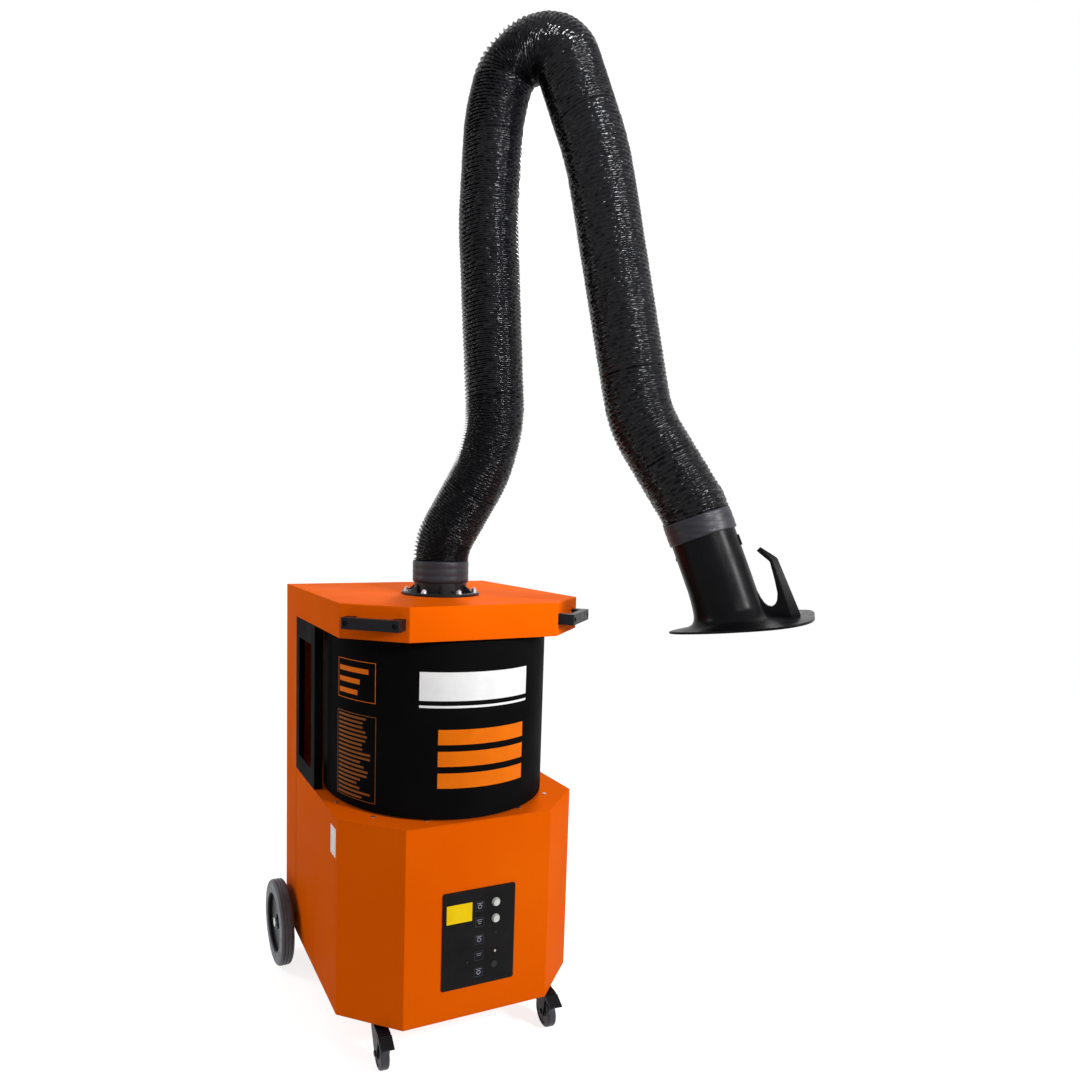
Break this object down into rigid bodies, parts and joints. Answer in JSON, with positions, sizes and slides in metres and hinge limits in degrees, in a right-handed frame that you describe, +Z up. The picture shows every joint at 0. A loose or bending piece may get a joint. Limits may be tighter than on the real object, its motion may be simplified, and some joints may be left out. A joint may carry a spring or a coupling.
{
  "type": "mobile fume extraction unit",
  "caption": "Wheeled workshop extraction unit: cabinet with a filter drum and blower, and a jointed ribbed-hose arm that ends in a flared hood with a hook handle.",
  "frame": {"origin": "on the floor, in the middle of the whole unit's plan with the arm as it stands in the picture", "axes": "+Z up, -Y the way the cabinet's control panel faces, +X to the right of someone who looks at the panel"},
  "size_m": [1.1254, 1.2419, 2.6625],
  "materials": {
    "cabinet_orange": "satin",
    "cabinet_black": "satin",
    "arm_black": "satin",
    "zinc_steel": "satin",
    "arm_alloy": "satin",
    "hose_fabric": "satin",
    "cuff_rubber": "matte",
    "seal_rubber": "matte",
    "filter_paper": "matte",
    "hood_plastic": "gloss",
    "handle_plastic": "matte",
    "panel_plastic": "matte",
    "bezel_plastic": "gloss",
    "button_plastic": "gloss",
    "lamp_plastic": "gloss",
    "grey_plastic": "matte",
    "tyre_rubber": "matte"
  },
  "bodies": {
    "cabinet": {"base_plate": "cabinet_black", "lower_shell": "cabinet_orange", "deck_plate": "cabinet_orange", "rear_column": "cabinet_orange", "top_cover": "cabinet_orange", "top_cover_floor": "cabinet_orange", "spark_trap": "zinc_steel", "side_cover_left": "cabinet_black", "side_cover_right": "cabinet_black", "grab_handle_left": "handle_plastic", "grab_handle_right": "handle_plastic", "cabinet_screws": "zinc_steel", "filter_seals": "seal_rubber", "arm_flange": "arm_black", "control_panel": "panel_plastic", "button_bezels": "bezel_plastic", "indicator_lamps": "lamp_plastic", "control_box": "zinc_steel", "electronics": "grey_plastic", "blower_housing": "zinc_steel", "blower_motor": "arm_alloy", "motor_bracket": "zinc_steel", "exhaust_grille": "cabinet_black", "cable_gland": "handle_plastic", "wheel_axle": "zinc_steel", "axle_brackets": "zinc_steel", "caster_heads": "zinc_steel"},
    "arm_base": {"arm_neck": "arm_black", "base_cuff": "cuff_rubber", "base_strut": "arm_alloy", "hose_base": "hose_fabric"},
    "lower_arm": {"lower_arm_bar": "arm_alloy", "hose_shoulder_bend": "hose_fabric", "hose_lower": "hose_fabric"},
    "upper_arm": {"upper_arm_bar": "arm_alloy", "hose_elbow_bend": "hose_fabric", "hose_upper": "hose_fabric"},
    "end_link": {"end_link": "arm_alloy", "hose_wrist_bend": "hose_fabric"},
    "hood_yoke": {"hood_yoke": "arm_alloy", "hood_cuff": "cuff_rubber", "hose_hood_bend": "hose_fabric"},
    "hood": {"hood_shell": "hood_plastic", "hood_hook": "hood_plastic"},
    "damper": {"damper": "arm_alloy"},
    "filter_drum": {"filter_drum": "cabinet_black", "filter_pleats": "filter_paper"},
    "start_button": {"start_button": "button_plastic"},
    "stop_button": {"stop_button": "button_plastic"},
    "impeller": {"impeller": "arm_alloy"},
    "wheel_left": {"rear_tyre_left": "tyre_rubber", "rear_rim_left": "handle_plastic"},
    "wheel_right": {"rear_tyre_right": "tyre_rubber", "rear_rim_right": "handle_plastic"},
    "caster_left": {"caster_fork_left": "arm_black"},
    "caster_wheel_left": {"caster_wheel_left": "tyre_rubber"},
    "caster_pedal_left": {"caster_pedal_left": "arm_black"},
    "caster_right": {"caster_fork_right": "arm_black"},
    "caster_wheel_right": {"caster_wheel_right": "tyre_rubber"},
    "caster_pedal_right": {"caster_pedal_right": "arm_black"}
  },
  "joints": [
    {"name": "arm_swivel", "type": "hinge", "parent": "cabinet", "child": "arm_base", "pos_m": [-0.15566, 0.17173, 1.224], "axis": [0, 0, 1], "continuous": true},
    {"name": "shoulder_tilt", "type": "hinge", "parent": "arm_base", "child": "lower_arm", "pos_m": [-0.06381, 0.06607, 1.6], "axis": [-0.7547, -0.6561, 0], "range_deg": [-15, 30], "deforming": ["hose_shoulder_bend"]},
    {"name": "elbow_bend", "type": "hinge", "parent": "lower_arm", "child": "upper_arm", "pos_m": [-0.00083, -0.00638, 2.584], "axis": [0.7547, 0.6561, 0], "range_deg": [-75, 6], "deforming": ["hose_elbow_bend"]},
    {"name": "wrist_bend", "type": "hinge", "parent": "upper_arm", "child": "end_link", "pos_m": [0.19337, -0.22977, 1.655], "axis": [-0.7547, -0.6561, 0], "range_deg": [-20, 60], "deforming": ["hose_wrist_bend"]},
    {"name": "hood_tilt", "type": "hinge", "parent": "end_link", "child": "hood_yoke", "pos_m": [0.28062, -0.33015, 1.437], "axis": [-0.7547, -0.6561, 0], "range_deg": [-45, 45], "deforming": ["hose_hood_bend"]},
    {"name": "hood_turn", "type": "hinge", "parent": "hood_yoke", "child": "hood", "pos_m": [0.29356, -0.34502, 1.38465], "axis": [0.2351, -0.2705, -0.9336], "continuous": true},
    {"name": "damper_turn", "type": "hinge", "parent": "hood", "child": "damper", "pos_m": [0.30625, -0.35963, 1.33424], "axis": [0.6125, -0.7046, 0.3584], "range_deg": [0, 90]},
    {"name": "drum_slide", "type": "slide", "parent": "cabinet", "child": "filter_drum", "axis": [0, -1, 0], "range_m": [0, 0.42]},
    {"name": "start_press", "type": "slide", "parent": "cabinet", "child": "start_button", "axis": [0, 1, 0], "range_m": [0, 0.0025], "stiffness_N_per_m": 300},
    {"name": "stop_press", "type": "slide", "parent": "cabinet", "child": "stop_button", "axis": [0, 1, 0], "range_m": [0, 0.0025], "stiffness_N_per_m": 300},
    {"name": "impeller_spin", "type": "hinge", "parent": "cabinet", "child": "impeller", "pos_m": [-0.15766, 0.20473, 0.45], "axis": [0, 0, 1], "continuous": true},
    {"name": "wheel_left_roll", "type": "hinge", "parent": "cabinet", "child": "wheel_left", "pos_m": [-0.54266, 0.49373, 0.127], "axis": [1, 0, 0], "continuous": true},
    {"name": "wheel_right_roll", "type": "hinge", "parent": "cabinet", "child": "wheel_right", "pos_m": [0.22734, 0.49373, 0.127], "axis": [1, 0, 0], "continuous": true},
    {"name": "caster_left_swivel", "type": "hinge", "parent": "cabinet", "child": "caster_left", "pos_m": [-0.40066, -0.03827, 0.102], "axis": [0, 0, 1], "continuous": true},
    {"name": "caster_left_roll", "type": "hinge", "parent": "caster_left", "child": "caster_wheel_left", "pos_m": [-0.40362, -0.07214, 0.04], "axis": [-0.9962, 0.0872, 0], "continuous": true},
    {"name": "caster_left_brake", "type": "hinge", "parent": "caster_left", "child": "caster_pedal_left", "pos_m": [-0.40466, -0.08409, 0.0935], "axis": [0.9962, -0.0872, 0], "range_deg": [0, 12]},
    {"name": "caster_right_swivel", "type": "hinge", "parent": "cabinet", "child": "caster_right", "pos_m": [0.08534, -0.03827, 0.102], "axis": [0, 0, 1], "continuous": true},
    {"name": "caster_right_roll", "type": "hinge", "parent": "caster_right", "child": "caster_wheel_right", "pos_m": [0.08238, -0.07214, 0.04], "axis": [-0.9962, 0.0872, 0], "continuous": true},
    {"name": "caster_right_brake", "type": "hinge", "parent": "caster_right", "child": "caster_pedal_right", "pos_m": [0.08134, -0.08409, 0.0935], "axis": [0.9962, -0.0872, 0], "range_deg": [0, 12]}
  ]
}
